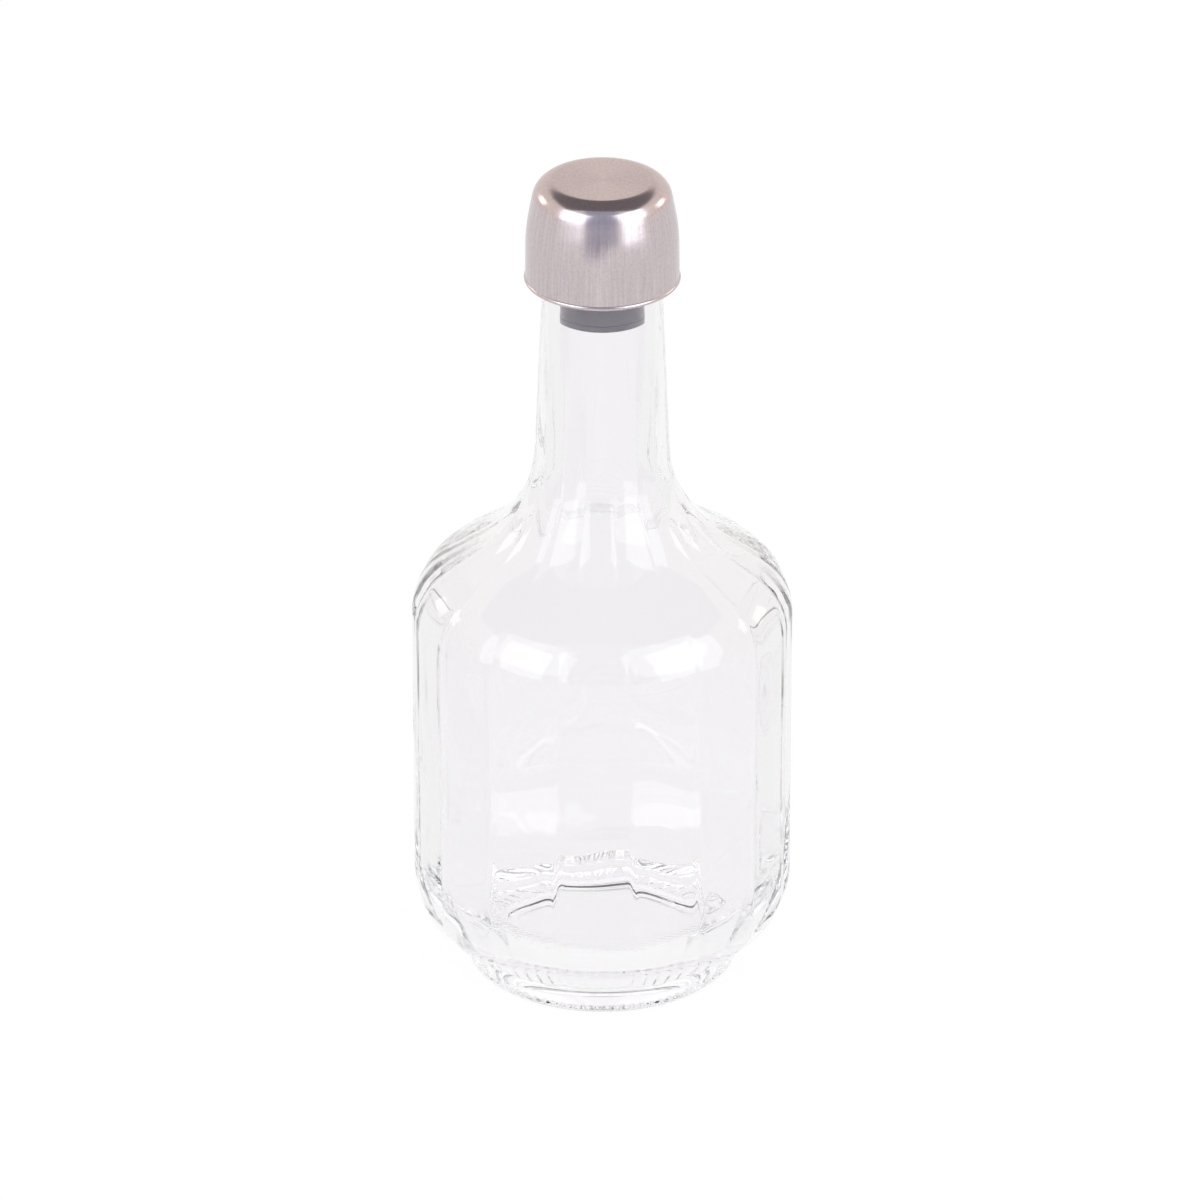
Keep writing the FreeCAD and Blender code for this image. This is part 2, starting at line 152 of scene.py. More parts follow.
@dataclass(frozen=True)
class BrushedAluminium:
    """Drawn aluminium sheet, brushed up the skirt and lacquered.

    Brushing leaves fine lines, which show as faint light and dark hairlines and spread a reflection
    round the skirt. Drawing coarsens the grain, and one place on the front of the skirt is made
    darker and rougher along the lines. The lines are drawn a little coarser than real ones, so that
    they show.
    """

    name: str = "brushed_aluminium"
    colour: str = "D2C7C8"
    worn_colour: str = "A79DA6"
    clean_roughness: float = 0.17
    worn_roughness: float = 0.28
    anisotropy: float = 0.5
    line_pitch_mm: float = 0.35
    line_length_mm: float = 12.0
    line_depth_mm: float = 0.002
    line_detail: float = 3.0
    line_range: tuple[float, float] = (0.35, 0.7)
    line_share: float = 0.3
    grain_mm: float = 0.55
    grain_detail: float = 2.0
    grain_range: tuple[float, float] = (0.4, 0.7)
    grain_share: float = 0.2
    mark_centre_mm: tuple[float, float, float] = (-1.0, -15.2, 172.3)
    mark_radius_mm: float = 4.2
    mark_strength: float = 1.3

    def lines(self, tree: bpy.types.NodeTree, place: bpy.types.NodeSocket,
              radius_mm: float) -> bpy.types.NodeSocket:
        """Noise over the distance round the skirt, drawn out along the height.

        The distance round is the radius times the angle, and the height is shrunk by the share
        that a line's pitch is of its length.

        Args:
            tree: the node tree.
            place: the place on the cap, as a socket.
            radius_mm: radius of the skirt.

        Returns:
            The noise as a socket, round a half.
        """
        parts = add_node(tree, "ShaderNodeSeparateXYZ", {0: place})
        angle = add_node(tree, "ShaderNodeMath", {0: parts.outputs["Y"], 1: parts.outputs["X"]},
                         operation="ARCTAN2")
        round_way = add_node(tree, "ShaderNodeMath", {0: angle.outputs[0], 1: radius_mm * MM},
                             operation="MULTIPLY")
        up_way = add_node(tree, "ShaderNodeMath",
                          {0: parts.outputs["Z"], 1: self.line_pitch_mm / self.line_length_mm},
                          operation="MULTIPLY")
        skirt = add_node(tree, "ShaderNodeCombineXYZ",
                         {"X": round_way.outputs[0], "Y": up_way.outputs[0]})
        return noise(tree, skirt.outputs[0], self.line_pitch_mm, self.line_detail)

    def mark(self, tree: bpy.types.NodeTree, place: bpy.types.NodeSocket) -> bpy.types.NodeSocket:
        """The dulled place: its full strength at its middle, easing to 0 at its radius.

        Args:
            tree: the node tree.
            place: the place on the cap, as a socket.

        Returns:
            The strength as a socket.
        """
        centre = [part * MM for part in self.mark_centre_mm]
        apart = add_node(tree, "ShaderNodeVectorMath", {0: place, 1: centre}, operation="DISTANCE")
        return add_node(tree, "ShaderNodeMapRange",
                        {"Value": apart.outputs["Value"], "From Min": 0.0,
                         "From Max": self.mark_radius_mm * MM,
                         "To Min": self.mark_strength, "To Max": 0.0},
                        interpolation_type="SMOOTHSTEP").outputs[0]

    def material(self, radius_mm: float) -> bpy.types.Material:
        """Builds the metal with hairlines up the skirt, an even grain and one dulled place.

        Args:
            radius_mm: radius of the skirt, which turns an angle into a distance.

        Returns:
            The material.
        """
        material, tree = new_material(self.name)
        place = add_node(tree, "ShaderNodeTexCoord").outputs["Object"]
        lines = self.lines(tree, place, radius_mm)
        streak, grain = (
            add_node(tree, "ShaderNodeMapRange",
                     {"Value": value, "From Min": low, "From Max": high,
                      "To Max": share}).outputs[0]
            for value, (low, high), share in (
                (lines, self.line_range, self.line_share),
                (noise(tree, place, self.grain_mm, self.grain_detail),
                 self.grain_range, self.grain_share)))
        worn = add_node(tree, "ShaderNodeMath", {0: streak, 1: grain}, operation="ADD").outputs[0]
        dull = add_node(tree, "ShaderNodeMath", {0: self.mark(tree, place), 1: lines},
                        operation="MULTIPLY").outputs[0]
        worn = add_node(tree, "ShaderNodeMath", {0: worn, 1: dull}, operation="ADD",
                        use_clamp=True).outputs[0]
        colour = add_node(tree, "ShaderNodeMix", {"Factor": worn, "A": linear(self.colour),
                                                  "B": linear(self.worn_colour)}, data_type="RGBA")
        roughness = add_node(tree, "ShaderNodeMapRange",
                             {"Value": worn, "To Min": self.clean_roughness,
                              "To Max": self.worn_roughness})
        bump = add_node(tree, "ShaderNodeBump",
                        {"Height": lines, "Distance": self.line_depth_mm * MM})
        metal = add_node(tree, "ShaderNodeBsdfPrincipled",
                         {"Base Color": colour.outputs[2], "Metallic": 1.0,
                          "Roughness": roughness.outputs[0], "Anisotropic": self.anisotropy,
                          "Normal": bump.outputs["Normal"]})
        close_tree(tree, metal.outputs["BSDF"])
        return material


@dataclass(frozen=True)
class MouldedPolyethylene:
    """Dark grey polyethylene from a spark-eroded mould, which gives a fine satin grain."""

    name: str = "moulded_polyethylene"
    colour: str = "7A7580"
    pale_colour: str = "88838D"
    index: float = 1.5
    roughness: float = 0.42
    grain_mm: float = 0.4
    cloud_mm: float = 4.8
    grain_depth_mm: float = 0.008
    noise_detail: float = 2.0

    def material(self) -> bpy.types.Material:
        """Builds the plastic with its grain and a faint cloudiness.

        Returns:
            The material.
        """
        material, tree = new_material(self.name)
        place = add_node(tree, "ShaderNodeTexCoord").outputs["Object"]
        grain = noise(tree, place, self.grain_mm, self.noise_detail)
        cloud = noise(tree, place, self.cloud_mm, self.noise_detail)
        colour = add_node(tree, "ShaderNodeMix",
                          {"Factor": cloud, "A": linear(self.colour),
                           "B": linear(self.pale_colour)}, data_type="RGBA")
        bump = add_node(tree, "ShaderNodeBump",
                        {"Height": grain, "Distance": self.grain_depth_mm * MM})
        plastic = add_node(tree, "ShaderNodeBsdfPrincipled",
                           {"Base Color": colour.outputs[2], "Roughness": self.roughness,
                            "IOR": self.index, "Normal": bump.outputs["Normal"]})
        close_tree(tree, plastic.outputs["BSDF"])
        return material


# ---- meridians ----

def arc(centre: tuple[float, float], radius: float, start: float, end: float, steps: int) -> Points:
    """Points on a circle: centre plus radius times the cosine and sine of an even run of angles.

    Args:
        centre: radius and height of the circle's middle.
        radius: the circle's radius.
        start: first angle in degrees, 0 outward and 90 up.
        end: last angle in degrees.
        steps: how many intervals the run has.

    Returns:
        An array of steps + 1 points.
    """
    angle = np.radians(np.linspace(start, end, steps + 1))
    return np.column_stack([centre[0] + radius * np.cos(angle), centre[1] + radius * np.sin(angle)])


def run(start: Points, end: Points, steps: int) -> Points:
    """Evenly spaced points on a straight line, both ends included."""
    return np.linspace(np.asarray(start, float), np.asarray(end, float), steps + 1)


def crossing(first: Points, first_way: Points, second: Points, second_way: Points) -> Points:
    """The point where two lines, each a point and a direction, cross."""
    along = np.linalg.solve(np.column_stack([first_way, -np.asarray(second_way)]),
                            np.asarray(second, float) - np.asarray(first, float))
    return np.asarray(first, float) + along[0] * np.asarray(first_way, float)


def rounded(before: Points, corner: Points, after: Points, radius: float, steps: int) -> Points:
    """An arc tangent to both straight sides of a corner.

    The arc's middle lies on the line that halves the corner, radius / sin(half the corner's
    angle) from it, and its ends lie radius / tan(half the angle) from it along the sides.

    Args:
        before: a point on the side that comes in.
        corner: where the sides meet.
        after: a point on the side that goes out.
        radius: the arc's radius.
        steps: how many intervals the arc has.

    Returns:
        The arc's points, in the order of travel.
    """
    corner = np.asarray(corner, float)
    ways = [np.asarray(point, float) - corner for point in (before, after)]
    ways = [way / np.linalg.norm(way) for way in ways]
    half = math.acos(np.clip(ways[0] @ ways[1], -1, 1)) / 2
    bisector = (ways[0] + ways[1]) / np.linalg.norm(ways[0] + ways[1])
    centre = corner + bisector * radius / math.sin(half)
    ends = [corner + way * radius / math.tan(half) - centre for way in ways]
    angles = np.unwrap([math.atan2(end[1], end[0]) for end in ends])
    return arc(tuple(centre), radius, *np.degrees(angles), steps)


def joined(*runs: Points) -> Points:
    """Strings runs of points together and drops a point that repeats the one before it.

    Args:
        runs: the runs in the order of travel.

    Returns:
        One array of points, each apart from its neighbour.
    """
    points = np.vstack(runs)
    apart = np.linalg.norm(np.diff(points, axis=0), axis=1) > SAME_POINT
    return points[np.concatenate([[True], apart])]


def ease(value: np.ndarray) -> np.ndarray:
    """A smooth step from 0 to 1: three times the square less twice the cube."""
    value = np.clip(value, 0, 1)
    return value * value * (3 - 2 * value)


# ---- meshes ----

Relief = Callable[[np.ndarray, np.ndarray, np.ndarray], tuple[np.ndarray, np.ndarray]]


def turned_mesh(name: str, meridian: Points, columns: int,
                relief: Relief | None = None) -> bpy.types.Object:
    """Turns a meridian about the upright axis into one closed mesh with its faces outward.

    A point is radius times cosine, radius times sine, and height, on a grid of meridian rows by
    angle columns. Both ends of the meridian lie on the axis and become single pole vertices.

    Args:
        name: the object's name.
        meridian: radius and height in millimetres from pole to pole, outward first.
        columns: how many vertices each ring has.
        relief: changes radius and height, given both and the angle as grids.

    Returns:
        The object, linked to the scene.
    """
    angle = np.arange(columns)[None, :] * 2 * np.pi / columns
    radius = np.repeat(meridian[1:-1, 0][:, None], columns, axis=1)
    height = np.repeat(meridian[1:-1, 1][:, None], columns, axis=1)
    angle = np.repeat(angle, len(radius), axis=0)
    if relief:
        radius, height = relief(radius, height, angle)
    rings = np.stack([radius * np.cos(angle), radius * np.sin(angle), height], axis=-1)
    poles = np.array([[0, 0, meridian[0, 1]], [0, 0, meridian[-1, 1]]])
    points = np.vstack([rings.reshape(-1, 3), poles]) * MM

    rows = len(radius)
    row, column = np.arange(rows - 1)[:, None], np.arange(columns)[None, :]
    beside = (column + 1) % columns
    quads = np.stack([row * columns + column, row * columns + beside,
                      (row + 1) * columns + beside, (row + 1) * columns + column], axis=-1)
    first, first_beside, last_ring = column[0], beside[0], (rows - 1) * columns
    low_pole, high_pole = rows * columns, rows * columns + 1
    low = np.column_stack([np.full(columns, low_pole), first_beside, first])
    high = np.column_stack([last_ring + first, last_ring + first_beside,
                            np.full(columns, high_pole)])

    mesh = bpy.data.meshes.new(name)
    faces = quads.reshape(-1, 4).tolist() + low.tolist() + high.tolist()
    mesh.from_pydata(points.tolist(), [], faces)
    mesh.polygons.foreach_set("use_smooth", np.ones(len(mesh.polygons), bool))
    mesh.set_sharp_from_angle(angle=math.radians(SHARP_BEND))
    mesh.update()
    piece = bpy.data.objects.new(name, mesh)
    bpy.context.scene.collection.objects.link(piece)
    return piece


@dataclass
class Bottle:
    """One piece of pressed glass: round foot, bowed panels, slim neck and a round cavity.

    The mould makes the outside, and the inside is left free, so it is very slightly wavy. Each
    of the waves has a number of crests round the bottle, a pitch up it in millimetres, which
    slants the crests, and an angle to start from.
    """

    height: float = 170.0
    body_radius: float = 40.0
    foot_radius: float = 28.9
    foot_flare: float = 0.5
    foot_height: float = 6.5
    foot_edge_radius: float = 1.9
    foot_ledge: float = 1.0
    ledge_radius: float = 0.5
    hollow_radius: float = 22.5
    hollow_depth: float = 1.8
    hollow_blend_radius: float = 20.0
    hollow_slope: float = 22.0
    heel_radius: float = 14.6
    shoulder_height: float = 81.3
    shoulder_radius: float = 13.2
    cone_angle: float = 34.0
    blend_radius: float = 29.0
    mouth_radius: float = 11.9
    neck_draft: float = 2.5
    ring_height: float = 3.0
    ring_bead: float = 0.3
    lip_radius: float = 1.0
    bore_chamfer: float = 0.5
    panel_count: int = 16
    valley_depth: float = 0.5
    neck_valley_depth: float = 0.3
    panel_run_in: float = 3.0
    panel_run_out: float = 26.0
    plain_neck: float = 22.0
    bow_share: float = 0.7
    edge_power: float = 10.0
    wall: float = 3.4
    floor_height: float = 8.4
    inner_heel_radius: float = 19.0
    inner_shoulder_radius: float = 11.5
    inner_cone_angle: float = 36.0
    bore_radius: float = 9.0
    notch_count: int = 72
    notch_depth: float = 0.45
    notch_margin: float = 0.6
    wave_height: float = 0.05
    wave_fade: float = 40.0
    waves: tuple[tuple[int, float, float], ...] = ((5, 61.0, 0.3), (8, -43.0, 1.7), (13, 31.0, 4.1))
    columns_per_panel: int = 25
    first_side_row: int = field(init=False, default=0)
    last_side_row: int = field(init=False, default=0)
    first_cavity_row: int = field(init=False, default=0)
    glass: ClearGlass = field(default_factory=ClearGlass)

    def foot(self) -> Points:
        """The hollow under the foot, the bearing ring and the foot's side, up to the heel.

        Returns:
            The points from the axis outward.
        """
        slope = math.tan(math.radians(self.hollow_slope))
        centre = np.array([0.0, self.hollow_depth])
        rim = np.array([self.hollow_radius, 0.0])
        brow = np.array([self.hollow_radius - self.hollow_depth / slope, self.hollow_depth])
        edge = np.array([self.foot_radius, 0.0])
        top = np.array([self.foot_radius + self.foot_flare, self.foot_height])
        heel = np.array([top[0] - self.foot_ledge, self.foot_height])
        ring_end = self.foot_radius - self.foot_edge_radius
        vault = rounded(centre, brow, rim, self.hollow_blend_radius, steps=8)
        return joined(run(centre, vault[0], steps=3), vault,
                      run(rim, [ring_end, 0], steps=9),
                      rounded(rim, edge, top, self.foot_edge_radius, steps=8),
                      rounded(edge, top, heel, self.ledge_radius, steps=5), heel[None])

    def side(self) -> Points:
        """The panels' crests: heel arc, upright side, shoulder arc, cone, blend arc and neck.

        The heel's arc starts where its circle is as wide as the foot's top less its ledge. The
        cone touches the shoulder's circle, and the blend arc rounds the corner that the cone
        makes with the neck.

        Returns:
            The points from the foot up.
        """
        start = self.foot_radius + self.foot_flare - self.foot_ledge
        middle = self.body_radius - self.heel_radius
        lean = math.acos((start - middle) / self.heel_radius)
        heel_centre = (middle, self.foot_height + self.heel_radius * math.sin(lean))
        cone, draft = math.radians(self.cone_angle), math.radians(self.neck_draft)
        touch = np.array([self.body_radius - self.shoulder_radius * (1 - math.sin(cone)),
                          self.shoulder_height + self.shoulder_radius * math.cos(cone)])
        cone_way, neck_way = (-math.cos(cone), math.sin(cone)), (-math.sin(draft), math.cos(draft))
        mouth = (self.mouth_radius, self.height)
        corner = crossing(touch, cone_way, mouth, neck_way)
        top = crossing(mouth, neck_way, (0, self.height - self.ring_height), (1, 0))
        blend = rounded(touch, corner, top, self.blend_radius, steps=30)
        return joined(arc(heel_centre, self.heel_radius, -math.degrees(lean), 0, steps=24),
                      run([self.body_radius, heel_centre[1]],
                          [self.body_radius, self.shoulder_height], steps=8),
                      arc((self.body_radius - self.shoulder_radius, self.shoulder_height),
                          self.shoulder_radius, 0, 90 - self.cone_angle, steps=22),
                      run(touch, blend[0], steps=4), blend, run(blend[-1], top, steps=20))

    def mouth(self) -> Points:
        """The ring at the mouth with its rounded lip, and the chamfer into the bore.

        Returns:
            The points from the ring's lower edge to the bore.
        """
        low = self.height - self.ring_height
        neck = self.mouth_radius + self.ring_height * math.tan(math.radians(self.neck_draft))
        bead = neck + self.ring_bead
        edge = np.array([bead, self.height])
        inner = np.array([self.bore_radius + self.bore_chamfer, self.height])
        return joined(run([bead, low], [bead, self.height - self.lip_radius], steps=2),
                      rounded([bead, low], edge, inner, self.lip_radius, steps=6), inner[None],
                      [[self.bore_radius, self.height - self.bore_chamfer]])

    def cavity(self) -> Points:
        """The bore, the shoulder, the wall and the floor of the cavity, from the top down.

        Returns:
            The points from the bore's chamfer to the axis.
        """
        wall = self.body_radius - self.wall
        cone = math.radians(self.inner_cone_angle)
        touch = np.array([wall - self.inner_shoulder_radius * (1 - math.sin(cone)),
                          self.shoulder_height + self.inner_shoulder_radius * math.cos(cone)])
        corner = crossing(touch, (-math.cos(cone), math.sin(cone)), (self.bore_radius, 0), (0, 1))
        blend = rounded([self.bore_radius, self.height], corner, touch, self.blend_radius, steps=20)
        heel = (wall - self.inner_heel_radius, self.floor_height + self.inner_heel_radius)
        return joined(run([self.bore_radius, self.height - self.bore_chamfer], blend[0], steps=8),
                      blend, run(blend[-1], touch, steps=2),
                      arc((wall - self.inner_shoulder_radius, self.shoulder_height),
                          self.inner_shoulder_radius, 90 - self.inner_cone_angle, 0, steps=14),
                      run([wall, self.shoulder_height], [wall, heel[1]], steps=22),
                      arc(heel, self.inner_heel_radius, 0, -90, steps=20),
                      run([heel[0], self.floor_height], [0, self.floor_height], steps=3))

    def valleys(self, radius: np.ndarray, height: np.ndarray, angle: np.ndarray) -> np.ndarray:
        """How deep the outside lies under the panels' crests.

        With u from -1 to 1 across a panel, the depth is the valley's depth times a mix of u
        squared, which bows the panel, and a high power of u, which sharpens its edges. The
        valley's depth grows with the radius and eases out at the foot and on the neck.

        Args:
            radius: radii of the grid.
            height: heights of the grid.
            angle: angles of the grid.

        Returns:
            The depths.
        """
        panels = angle * self.panel_count / (2 * np.pi)
        across = 2 * (panels - np.round(panels))
        form = (self.bow_share * across ** 2
                + (1 - self.bow_share) * np.abs(across) ** self.edge_power)
        share = (radius - self.mouth_radius) / (self.body_radius - self.mouth_radius)
        full = self.neck_valley_depth + share * (self.valley_depth - self.neck_valley_depth)
        fade = np.minimum(ease((height - self.foot_height) / self.panel_run_in),
                          ease((self.height - self.plain_neck - height) / self.panel_run_out))
        return full * fade * form

    def notches(self, radius: np.ndarray, height: np.ndarray, angle: np.ndarray) -> np.ndarray:
        """How high the notches rise into the bearing ring.

        That is half their depth times one plus a cosine of the angle, and it eases out within
        a margin of the ring's two edges. Off the plane that the foot stands on it is 0.

        Args:
            radius: radii of the grid.
            height: heights of the grid.
            angle: angles of the grid.

        Returns:
            The rises.
        """
        low, high = self.hollow_radius, self.foot_radius - self.foot_edge_radius
        bearing = (ease((radius - low) / self.notch_margin)
                   * ease((high - radius) / self.notch_margin))
        wave = 0.5 * (1 + np.cos(self.notch_count * angle))
        return np.where(height < SAME_POINT, self.notch_depth * bearing * wave, 0)

    def flow(self, height: np.ndarray, angle: np.ndarray) -> np.ndarray:
        """How far the cavity's wall stands outward: a sum of slanted sine waves.

        It eases out below the neck's plain part, where the stopper needs a round bore.

        Args:
            height: heights of the grid.
            angle: angles of the grid.

        Returns:
            The distances.
        """
        settled = ease((self.height - self.plain_neck - height) / self.wave_fade)
        return self.wave_height * settled * sum(
            np.sin(count * angle + 2 * np.pi * height / pitch + start)
            for count, pitch, start in self.waves)

    def relief(self, radius: np.ndarray, height: np.ndarray,
               angle: np.ndarray) -> tuple[np.ndarray, np.ndarray]:
        """Changes each stretch of the turned form: the foot, the panelled side and the cavity.

        Args:
            radius: radii of the grid.
            height: heights of the grid.
            angle: angles of the grid.

        Returns:
            The new radii and heights.
        """
        rows = np.arange(len(radius))[:, None]
        under = rows < self.first_side_row
        side = (rows >= self.first_side_row) & (rows <= self.last_side_row)
        inside = rows >= self.first_cavity_row
        return (radius - side * self.valleys(radius, height, angle)
                + inside * self.flow(height, angle),
                height + under * self.notches(radius, height, angle))

    def build(self) -> bpy.types.Object:
        """Builds and dresses the glass.

        Returns:
            The piece.
        """
        foot, side = self.foot(), self.side()
        mouth = self.mouth()
        meridian = joined(foot, side, mouth, self.cavity())
        self.first_side_row = len(foot) - 2
        self.first_cavity_row = len(foot) + len(side) + len(mouth) - 3
        self.last_side_row = self.first_side_row + len(side) - 1
        columns = self.panel_count * self.columns_per_panel
        piece = turned_mesh("bottle_glass", meridian, columns, self.relief)
        piece.data.materials.append(self.glass.material())
        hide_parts("bottle")
        return piece


@dataclass(frozen=True)
class CapForm:
    """Sizes of the drawn cap, shared with the stopper's head inside it."""

    top: float = 181.0
    height: float = 22.4
    radius: float = 15.95
    draft: float = 0.6
    shoulder_depth: float = 10.8
    shoulder_lean: float = 11.0
    shoulder_radius: float = 40.0
    corner_radius: float = 4.5
    sheet: float = 0.6
    lip_radius: float = 0.55

    @property
    def foot(self) -> float:
        """Height of the skirt's lower edge."""
        return self.top - self.height

    def skirt_radius(self, height: float) -> float:
        """Outer radius of the skirt, or of its straight continuation, at a height."""
        return self.radius - (height - self.foot) * math.tan(math.radians(self.draft))

    def shoulder_radius_at(self, height: float) -> float:
        """Outer radius of the leaning shoulder, or of its straight continuation, at a height.

        Args:
            height: the height to measure at.

        Returns:
            The skirt's radius at the knee, less the rise above it times the lean's tangent.
        """
        knee = self.top - self.shoulder_depth
        lean = math.radians(self.shoulder_lean)
        return self.skirt_radius(knee) - (height - knee) * math.tan(lean)


@dataclass
class Stopper:
    """Moulded plug with a sealing bead at its foot, and the head that fills the cap."""

    seat: float = 170.0
    plug_length: float = 19.2
    bore_radius: float = 9.0
    plug_clearance: float = 0.2
    bead_height: float = 1.4
    bead_clearance: float = 0.05
    bead_step: float = 0.1
    edge_radius: float = 0.5
    head_clearance: float = 0.4
    columns: int = 128
    form: CapForm = field(default_factory=CapForm)
    plastic: MouldedPolyethylene = field(default_factory=MouldedPolyethylene)

    def build(self) -> bpy.types.Object:
        """Turns the plug's outline: foot, bead, shank, then the head up to the cap's top.

        Returns:
            The piece.
        """
        foot, top = self.seat - self.plug_length, self.form.top - self.form.sheet
        bead, shank = self.bore_radius - self.bead_clearance, self.bore_radius - self.plug_clearance
        inset = self.form.sheet + self.head_clearance
        low = [self.form.shoulder_radius_at(self.seat) - inset, self.seat]
        high = [self.form.shoulder_radius_at(top) - inset, top]
        bead_top = foot + self.bead_height
        shank_foot = bead_top + self.bead_step
        meridian = joined(run([0, foot], [bead - self.edge_radius, foot], steps=3),
                          rounded([0, foot], [bead, foot], [bead, bead_top],
                                  self.edge_radius, steps=6),
                          [[bead, bead_top]],
                          run([shank, shank_foot], [shank, self.seat], steps=4),
                          run([shank, self.seat], low, steps=2),
                          rounded(low, high, [0, top], self.form.corner_radius, steps=8),
                          [[0, top]])
        piece = turned_mesh("stopper_plug", meridian, self.columns)
        piece.data.materials.append(self.plastic.material())
        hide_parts("stopper")
        return piece


@dataclass
class Cap:
    """Drawn sheet: flat top, rounded corner, leaning shoulder, skirt open below, rolled lip."""

    columns: int = 256
    form: CapForm = field(default_factory=CapForm)
    metal: BrushedAluminium = field(default_factory=BrushedAluminium)

    def side(self, start: Points, inset: float) -> Points:
        """One face of the sheet from the lip up: skirt, knee, shoulder, corner and flat top.

        Args:
            start: the point where the lip ends.
            inset: how far this face lies inside the outer one.

        Returns:
            The face's points, the last one on the axis.
        """
        form = self.form
        height, top = form.top - form.shoulder_depth, form.top - inset
        knee = [form.skirt_radius(height) - inset, height]
        brow = [form.shoulder_radius_at(top) - inset, top]
        bend = rounded(start, knee, brow, form.shoulder_radius - inset, steps=8)
        corner = rounded(knee, brow, [0, top], form.corner_radius - inset, steps=20)
        return joined(run(start, bend[0], steps=8), bend, run(bend[-1], corner[0], steps=3), corner,
                      run(corner[-1], [0, top], steps=8))

    def build(self) -> bpy.types.Object:
        """Turns the sheet's outline: inside from the top down, round the lip, and up the outside.

        The lip is a circle on the middle of the sheet. It meets each side of the sheet where the
        circle's radius times the cosine of the angle from the side's normal is the side's
        distance from the circle's middle.

        Returns:
            The piece.
        """
        form = self.form
        slope = math.tan(math.radians(form.draft))
        bead = (form.radius - form.sheet / 2, form.foot + form.lip_radius)
        reach = form.lip_radius * math.hypot(1, slope)
        outer, inner = (
            form.draft + math.degrees(math.acos((side - form.lip_radius * slope) / reach))
            for side in (form.sheet / 2, -form.sheet / 2))
        lip = arc(bead, form.lip_radius, inner - 360, outer, steps=20)
        inside = self.side(lip[0], form.sheet)
        outside = self.side(lip[-1], 0.0)
        meridian = joined(inside[::-1], lip, outside)
        piece = turned_mesh("cap_shell", meridian, self.columns)
        piece.data.materials.append(self.metal.material(form.radius))
        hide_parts("cap")
        return piece


# ---- studio ----

def from_above(azimuth: float, elevation: float, distance: float) -> Vector:
    """A point in a given direction from the origin.

    Its X is the sine of the azimuth and its Y minus the cosine, both times the cosine of the
    elevation, and its Z is the sine of the elevation, all times the distance.

    Args:
        azimuth: degrees round, 0 towards -Y and 90 towards +X.
        elevation: degrees above level.
        distance: how far the point is.

    Returns:
        The point.
    """
    turn, lift = math.radians(azimuth), math.radians(elevation)
    return Vector((math.sin(turn) * math.cos(lift), -math.cos(turn) * math.cos(lift),
                   math.sin(lift))) * distance


